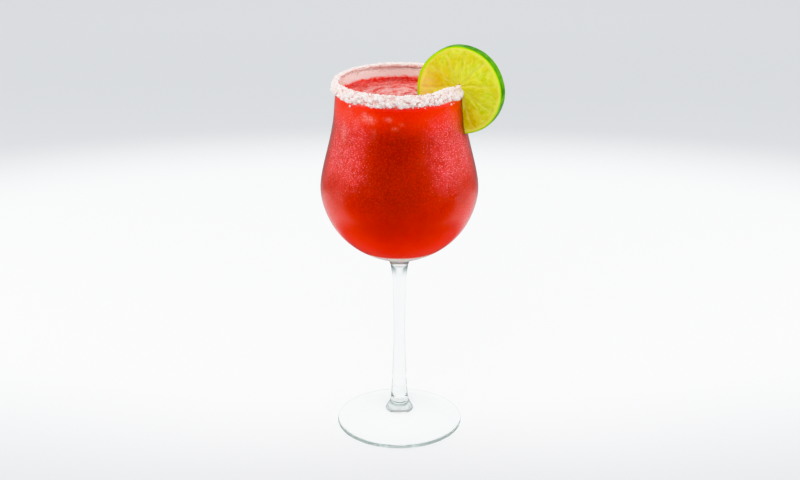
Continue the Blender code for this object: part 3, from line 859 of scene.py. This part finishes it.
# ---------------------------------------------------------------- crust
def crust_at(t):
    a = CRUST_START + (CRUST_END - CRUST_START) * t
    spot = Vector((math.cos(a), -math.sin(a), 0.0))
    lump = noise.noise(spot * 7.0 + Vector((3.1, 0.4, 7.7)))
    sag = noise.noise(spot * 5.0 + Vector((9.2, 2.2, 1.3)))
    rise = noise.noise(spot * 6.0 + Vector((0.7, 5.5, 4.1)))
    taper = min(1.0, 0.55 + 9.0 * min(t, 1 - t))
    low = CRUST_LOW + 0.9 * MM * sag
    high = min(CRUST_HIGH + 0.45 * MM * rise, GLASS_HEIGHT - 0.2 * MM)
    # lower and narrower where it ends beside the lime wheel
    thin = 1 - float(smoothstep(0.0, 0.06, t))
    low, high = low - 0.8 * MM * thin, high - 1.2 * MM * thin
    thick = CRUST_THICK * (1.0 + 0.55 * lump) * taper
    return a, low, high, thick


def crystal_material(name, dull, bright, glow, laid=None):
    t = Tree(name)
    place = t.add("TexCoord", out="Object")
    patch = t.noise(place, 520.0, 2.0)
    colour = t.mix(t.span(patch, 0.38, 0.60), dull, bright)
    if laid:
        # painted light: the core's face against the glass is a paler copy of its colour, standing for the light that
        # comes through the crust from behind
        colour = t.mix(t.attr("laid"), colour, laid)
    else:
        colour = t.mix(t.attr("tone"), colour, (0.98, 0.64, 0.58, 1))
    bump = t.add("Bump", {"Strength": 0.25, "Distance": 0.0001, "Height": t.noise(place, 2600.0, 2.0)})
    shader = t.add("BsdfPrincipled", {
        "Base Color": colour, "Roughness": 0.2, "IOR": 1.5, "Normal": bump})
    shader = t.add("MixShader", {0: glow, 1: shader, 2: t.add("BsdfTranslucent", {"Color": (1.0, 0.975, 0.97, 1)})})
    clear = t.add("BsdfTransparent", {"Color": (0.95, 0.94, 0.94, 1)})
    # light goes on through the small clear crystals
    through = t.math('MULTIPLY', t.add("LightPath", out="Is Shadow Ray"), 0.70)
    return t.surface(t.add("MixShader", {0: through, 1: shader, 2: clear}))


def make_crust():
    steps, section = 420, 14
    verts = []
    for i in range(steps + 1):
        a, low, high, thick = crust_at(i / steps)
        low, high, thick = low + 0.7 * MM, min(high + 0.25 * MM, GLASS_HEIGHT - 0.3 * MM), thick * 0.42
        for j in range(section):
            if j < 2:
                z, r = (low if j == 0 else high), None
                depth = -0.05 * MM
            else:
                b = math.pi * (j - 1) / (section - 1)
                z = (low + high) / 2 + (high - low) / 2 * math.cos(b) * 1.04
                depth = thick * (0.22 + 0.78 * math.sin(b))
                p = Vector((math.cos(a) * 36, math.sin(a) * 36, z / MM))
                depth += 0.22 * MM * noise.noise(p * 0.9) + 0.16 * MM * noise.noise(p * 2.1)
            r = float(outer_radius(z)) + max(depth, -0.05 * MM)
            verts.append((r * math.cos(a), -r * math.sin(a), z))
    faces = grid_faces(steps + 1, section)
    obj = mesh_object("crust_core", np.array(verts), faces)
    bm = bmesh.new()
    bm.from_mesh(obj.data)
    bm.verts.ensure_lookup_table()
    for start in (0, steps * section):
        bm.faces.new([bm.verts[start + j] for j in range(section)])
    bmesh.ops.recalc_face_normals(bm, faces=bm.faces)
    bm.to_mesh(obj.data)
    bm.free()
    obj.data.materials.append(crystal_material("packed_crystals", (0.90, 0.46, 0.43, 1), (0.97, 0.70, 0.67, 1), 0.30,
                                               (0.99, 0.93, 0.91, 1)))
    attribute(obj, "laid", np.tile(np.arange(section) < 2, steps + 1) * 1.0)
    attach(obj, "root")

    rng = np.random.default_rng(41)
    centres, sizes = [], []

    def place(t, b, lift, size):
        a, low, high, thick = crust_at(t)
        z = (low + high) / 2 + (high - low) / 2 * math.cos(b) * 1.04
        depth = (thick * 0.66) * (0.15 + 0.85 * max(math.sin(b), 0.0)) + lift
        r = float(outer_radius(min(z, GLASS_HEIGHT - LIP_ROUND))) + max(depth, size * 0.35)
        centres.append((r * math.cos(a), -r * math.sin(a), z))
        sizes.append(size)

    # crystals that lie close, then lumps of them with dips between
    for _ in range(1500):
        b = math.acos(1 - 2 * rng.random()) if rng.random() < 0.75 else rng.random() * math.pi
        place(rng.random(), b, 0.30 * rng.random() * MM, (0.26 + 0.28 * rng.random() ** 1.3) * MM)
    for _ in range(300):
        t, b = rng.random(), math.pi * (0.12 + 0.76 * rng.random())
        wide = (0.55 + 0.60 * rng.random()) * MM
        count = int(16 * (wide / (1.0 * MM)) ** 2)
        swell = (0.20 + 0.55 * rng.random()) * MM
        for _ in range(count):
            dx, dy = rng.normal(size=2) * 0.5
            near = math.exp(-(dx * dx + dy * dy) * 1.2)
            place((t + dx * wide / (2 * math.pi * LIP_RADIUS)) % 1.0,
                  min(max(b + dy * wide / (2.2 * MM), 0.05), math.pi - 0.05),
                  (0.1 + swell / MM * near + 0.15 * rng.random()) * MM, (0.28 + 0.34 * rng.random() ** 1.4) * MM)
    # a loose fringe below the crust, in clumps
    for _ in range(900):
        t = rng.random()
        a, low, high, thick = crust_at(t)
        clump = noise.noise(Vector((math.cos(a) * 11, math.sin(a) * 11, 2.0)))
        if rng.random() > 0.45 + 0.9 * clump:
            continue
        size = (0.20 + 0.28 * rng.random() ** 2) * MM
        z = low - rng.exponential(0.35) * MM
        r = float(outer_radius(z)) + size * 0.5
        centres.append((r * math.cos(a), -r * math.sin(a), z))
        sizes.append(size)
    # a few sit on the lip's outer edge, and in a low heap beside the lime wheel
    for _ in range(800):
        a = math.radians(282 + 74 * (2 * rng.random() - 1) * (0.6 + 0.4 * rng.random()))
        size = (0.20 + 0.24 * rng.random() ** 2) * MM
        z = GLASS_HEIGHT + (0.35 - 1.3 * rng.random() ** 1.4) * MM
        r = float(inner_radius(min(z, GLASS_HEIGHT - LIP_ROUND))) - size * 0.4
        centres.append((r * math.cos(a), -r * math.sin(a), z))
        sizes.append(size)
    for i in range(3350):
        size = (0.22 + 0.24 * rng.random() ** 2) * MM
        if i < 900:
            a, heap, wide = math.radians(20.2) + (CRUST_END - math.radians(20.2)) * rng.random(), 0.3, 0.2
            heap = heap - 0.3 * float(smoothstep(29, 24, math.degrees(a)))
        elif i < 1800:
            a, heap, wide = math.radians(178) + (CRUST_END - math.radians(178)) * rng.random(), 0.45, 1.0
        elif i < 3000:
            # thicker towards the back, and over the lip's inner edge
            t = 0.5 - 0.5 * math.cos(math.pi * rng.random())
            a, heap, wide = math.radians(195 + 160 * t), 0.9 * math.sin(math.pi * t), 1.5
        else:
            t = rng.random()
            a, heap, wide = math.radians(31 + 27 * t), 0.1 + 1.2 * math.sin(math.pi * t), 0.6
        z = GLASS_HEIGHT + (rng.random() * (heap + 0.6) - 0.6) * MM
        r = LIP_RADIUS + (rng.random() * 1.6 - wide) * MM
        if r < LIP_RADIUS + 0.1 * MM:
            z = max(z, GLASS_HEIGHT + 0.1 * MM)
        centres.append((r * math.cos(a), -r * math.sin(a), z))
        sizes.append(size)
    centres, sizes = np.array(centres), np.array(sizes)
    n = len(centres)
    cube = np.array([(x, y, z) for x in (-1, 1) for y in (-1, 1) for z in (-1, 1)], float)
    sides = np.array([(0, 1, 3, 2), (4, 6, 7, 5), (0, 4, 5, 1), (2, 3, 7, 6), (0, 2, 6, 4), (1, 5, 7, 3)])
    shape = cube[None] * (1 + 0.34 * (rng.random((n, 8, 3)) - 0.5))
    shape = shape * (0.72 + 0.56 * rng.random((n, 1, 3))) * sizes[:, None, None]
    q = rng.normal(size=(n, 4))
    q /= np.linalg.norm(q, axis=1)[:, None]
    w, x, y, z = q.T
    rot = np.stack([1 - 2 * (y * y + z * z), 2 * (x * y - z * w), 2 * (x * z + y * w),
                    2 * (x * y + z * w), 1 - 2 * (x * x + z * z), 2 * (y * z - x * w),
                    2 * (x * z - y * w), 2 * (y * z + x * w), 1 - 2 * (x * x + y * y)], 1).reshape(n, 3, 3)
    pts = np.einsum('nij,nkj->nki', rot, shape) + centres[:, None]
    faces = (sides[None] + 8 * np.arange(n)[:, None, None]).reshape(-1, 4)
    grains = mesh_object("crust_grains", pts.reshape(-1, 3), faces, smooth=False)
    outward(grains)
    attribute(grains, "tone", np.repeat(rng.random(n) ** 2.0, 8))
    grains.data.materials.append(crystal_material("white_crystals", (1.0, 0.915, 0.88, 1), (1.0, 0.975, 0.96, 1), 0.2))
    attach(grains, "root")
    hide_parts("rim_crust")


# ---------------------------------------------------------------- studio
def area_light(name, place, aim, size, power, colour=(1, 1, 1), mirrored=True):
    data = bpy.data.lights.new(name, 'AREA')
    data.shape = 'RECTANGLE'
    data.size, data.size_y = size
    data.energy = power
    data.color = colour
    obj = bpy.data.objects.new(name, data)
    obj.location = place
    obj.visible_glossy = mirrored
    obj.rotation_euler = (Vector(aim) - Vector(place)).to_track_quat('-Z', 'Y').to_euler()
    bpy.context.scene.collection.objects.link(obj)


def make_studio():
    size = 6.0
    verts = [(-size, -size, -0.0002), (size, -size, -0.0002), (size, size, -0.0002), (-size, size, -0.0002)]
    floor = mesh_object("floor", np.array(verts), quads=np.array([[0, 1, 2, 3]]), smooth=False)
    t = Tree("pale_floor")
    place = t.add("TexCoord", out="Object")
    flat = t.add("VectorMath", {0: place, 1: (0.55, 1.0, 1.0)}, operation='MULTIPLY', out="Vector")
    reach = t.add("VectorMath", {0: flat, 1: (0.0, 0.245, 0.0)}, operation='DISTANCE', out="Value")
    near = t.add("VectorMath", {0: place}, operation='LENGTH', out="Value")
    far = t.add("SeparateXYZ", {0: place}, out="Y")
    # a black flag in front of the glass, which only what mirrors that side shows
    paths = t.add("LightPath", out=None)
    mirrored = t.math('MULTIPLY', t.math('GREATER_THAN', paths.outputs["Glossy Depth"], 0.5),
                      t.math('LESS_THAN', paths.outputs["Diffuse Depth"], 0.5))
    through = t.math('MULTIPLY', t.math('GREATER_THAN', paths.outputs["Transmission Depth"], 1.5), 0.72)
    mirrored = t.math('MULTIPLY', mirrored, t.math('SUBTRACT', 1.0, through))
    flag = t.math('MAXIMUM', t.span(far, 0.06, -0.12), t.span(near, 0.26, 0.14))
    flag = t.math('MAXIMUM', flag, t.span(far, 0.28, 0.42, 0.42, 0.70))
    dim = t.math('MULTIPLY', mirrored, t.math('MULTIPLY', flag, 0.9))
    lit = t.math('SUBTRACT', 1.0, dim)
    # painted light: the floor glows in a soft pool around the glass and faintly further out, lighting the bowl from
    # below
    pool = t.math('ADD', t.span(reach, 0.20, 0.36, 0.45, 0.0), t.span(reach, 0.36, 0.95, 0.035, 0.12))
    glow = t.math('MULTIPLY', pool, lit)
    t.surface(t.add("BsdfPrincipled", {
        "Base Color": t.mix(dim, (0.525, 0.537, 0.552, 1), (0, 0, 0, 1)), "Roughness": 0.7, "Specular IOR Level": 0.1,
        "Emission Color": (0.99, 0.995, 1.0, 1), "Emission Strength": glow}))
    floor.data.materials.append(t.mat)

    area_light("left_softbox", (-0.85, -0.02, 0.40), (0, 0, 0.17), (0.36, 0.80), 3.8, mirrored=False)
    area_light("right_softbox", (0.85, -0.10, 0.40), (0, 0, 0.17), (0.36, 0.80), 3.8, mirrored=False)
    area_light("top_softbox", (0.0, 0.12, 1.6), (0, 0.08, 0.0), (1.2, 1.2), 4.9)
    area_light("front_softbox", (-0.20, -1.10, 1.25), (0, 0, 0.2), (0.9, 0.9), 6.5, mirrored=False)

    world = bpy.data.worlds.new("studio")
    bpy.context.scene.world = world
    world.use_nodes = True
    tree = world.node_tree
    tree.nodes.clear()
    out = tree.nodes.new("ShaderNodeOutputWorld")
    back = tree.nodes.new("ShaderNodeBackground")
    place = tree.nodes.new("ShaderNodeTexCoord")
    split = tree.nodes.new("ShaderNodeSeparateXYZ")
    span = tree.nodes.new("ShaderNodeMapRange")
    span.interpolation_type = 'SMOOTHSTEP'
    for key, value in (("From Min", -1.0), ("From Max", 0.1), ("To Min", 0.84), ("To Max", 1.06)):
        span.inputs[key].default_value = value
    tree.links.new(place.outputs["Generated"], split.inputs[0])
    tree.links.new(split.outputs["Y"], span.inputs["Value"])
    paths = tree.nodes.new("ShaderNodeLightPath")
    dim = tree.nodes.new("ShaderNodeMapRange")
    dim.interpolation_type = 'SMOOTHSTEP'
    for key, value in (("From Min", 0.35), ("From Max", -0.35), ("To Min", 0.5), ("To Max", 0.88)):
        dim.inputs[key].default_value = value
    tree.links.new(split.outputs["Y"], dim.inputs["Value"])
    steps = [tree.nodes.new("ShaderNodeMath") for _ in range(5)]
    for node, kind in zip(steps, ('MULTIPLY', 'SUBTRACT', 'MULTIPLY', 'GREATER_THAN', 'LESS_THAN')):
        node.operation = kind
    mirrored = tree.nodes.new("ShaderNodeMath")
    mirrored.operation = 'MULTIPLY'
    for node, depth in ((steps[3], "Glossy Depth"), (steps[4], "Diffuse Depth")):
        tree.links.new(paths.outputs[depth], node.inputs[0])
        node.inputs[1].default_value = 0.5
    tree.links.new(steps[3].outputs[0], mirrored.inputs[0])
    tree.links.new(steps[4].outputs[0], mirrored.inputs[1])
    tree.links.new(dim.outputs[0], steps[0].inputs[0])
    tree.links.new(mirrored.outputs[0], steps[0].inputs[1])
    steps[1].inputs[0].default_value = 1.0
    tree.links.new(steps[0].outputs[0], steps[1].inputs[1])
    tree.links.new(steps[1].outputs[0], steps[2].inputs[0])
    tree.links.new(span.outputs[0], steps[2].inputs[1])
    tree.links.new(steps[2].outputs[0], back.inputs["Strength"])
    back.inputs["Color"].default_value = (0.97, 0.985, 1.0, 1)
    tree.links.new(back.outputs[0], out.inputs["Surface"])

    view = bpy.context.scene.view_settings
    view.view_transform = 'Standard'
    view.look = 'None'
    view.exposure = 0.0
    view.gamma = 1.0
    view.use_curve_mapping = True
    mapping = view.curve_mapping
    mapping.black_level = (0.012, 0.012, 0.012)
    mapping.white_level = (1.5, 1.5, 1.5)
    mapping.extend = 'HORIZONTAL'
    points = mapping.curves[3].points
    points[0].location, points[-1].location = (0.0, 0.0), (1.0, 0.985)
    for place in ((0.2, 0.301), (0.4, 0.602), (0.55, 0.785), (0.68, 0.885), (0.84, 0.955)):
        points.new(*place)
    mapping.update()
    cycles = bpy.context.scene.cycles
    cycles.max_bounces = 24
    cycles.diffuse_bounces = 8
    cycles.glossy_bounces = 20
    cycles.transmission_bounces = 20
    cycles.transparent_max_bounces = 16
    cycles.blur_glossy = 0.0


make_camera()
make_glass()
make_drink()
make_lime()
make_crust()
make_studio()

bpy.context.view_layer.update()
